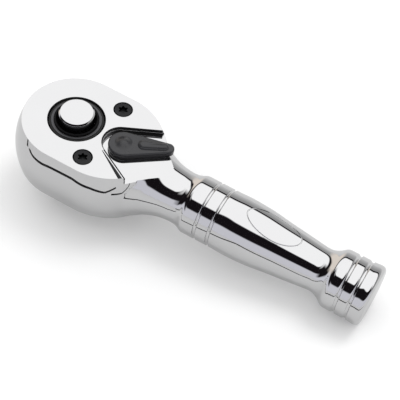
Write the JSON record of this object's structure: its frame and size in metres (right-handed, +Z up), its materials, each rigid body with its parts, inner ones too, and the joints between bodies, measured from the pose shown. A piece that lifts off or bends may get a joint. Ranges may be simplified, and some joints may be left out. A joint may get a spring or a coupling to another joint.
{
  "type": "ratchet wrench",
  "caption": "Stubby quick-release ratchet wrench: round head, square drive, push button, reversing lever and a turned metal handle.",
  "frame": {"origin": "centre of the square drive's tip face", "axes": "+Z up the drive axis to the release button, +X from the drive axis to the handle's end"},
  "size_m": [0.1233, 0.0376, 0.0343],
  "materials": {
    "chrome_body": "polished",
    "chrome_cover": "polished",
    "black_screw": "black oxide, satin",
    "gear_steel": "phosphated, satin",
    "washer_steel": "satin",
    "seal_rubber": "matte",
    "hub_rubber": "matte",
    "collar_steel": "satin",
    "button_steel": "satin",
    "rod_steel": "satin",
    "spring_steel": "satin",
    "ball_steel": "polished",
    "pawl_steel": "satin",
    "pin_steel": "satin",
    "lever_metal": "satin black",
    "spindle_steel": "satin"
  },
  "bodies": {
    "housing": {"ratchet_body": "chrome_body", "cover_plate": "chrome_cover", "cover_screws": "black_screw", "cover_dowels": "pin_steel", "thrust_washer": "washer_steel", "hub_seal": "hub_rubber", "pawl_pin": "pin_steel"},
    "drive": {"drive_gear": "gear_steel", "button_collar": "collar_steel", "drive_o_ring": "seal_rubber", "release_spring": "spring_steel"},
    "button": {"release_button": "button_steel", "push_rod": "rod_steel"},
    "ball": {"detent_ball": "ball_steel"},
    "lever": {"reverse_lever": "lever_metal", "selector_spindle": "spindle_steel", "selector_plunger": "pin_steel", "plunger_spring": "spring_steel", "spindle_clip": "spring_steel", "lever_o_ring": "seal_rubber"},
    "rocker": {"pawl": "pawl_steel"}
  },
  "joints": [
    {"name": "drive_spin", "type": "hinge", "parent": "housing", "child": "drive", "pos_m": [0, 0, 0], "axis": [0, 0, 1], "continuous": true},
    {"name": "button_press", "type": "slide", "parent": "drive", "child": "button", "axis": [0, 0, -1], "range_m": [0, 0.0025], "stiffness_N_per_m": 900, "springref_m": -0.004, "deforming": ["release_spring"]},
    {"name": "ball_retract", "type": "slide", "parent": "drive", "child": "ball", "axis": [1, 0, 0], "range_m": [0, 0.0006]},
    {"name": "lever_swing", "type": "hinge", "parent": "housing", "child": "lever", "pos_m": [0.017, 0, 0], "axis": [0, 0, 1], "range_deg": [-54, 0]},
    {"name": "pawl_tilt", "type": "hinge", "parent": "housing", "child": "rocker", "pos_m": [0.0124, 0, 0], "axis": [0, 0, 1], "range_deg": [0, 10]}
  ],
  "couplings": [
    {"joint": "ball_retract", "follows": "button_press", "ratio": 0.24},
    {"joint": "pawl_tilt", "follows": "lever_swing", "ratio": -0.18518}
  ]
}
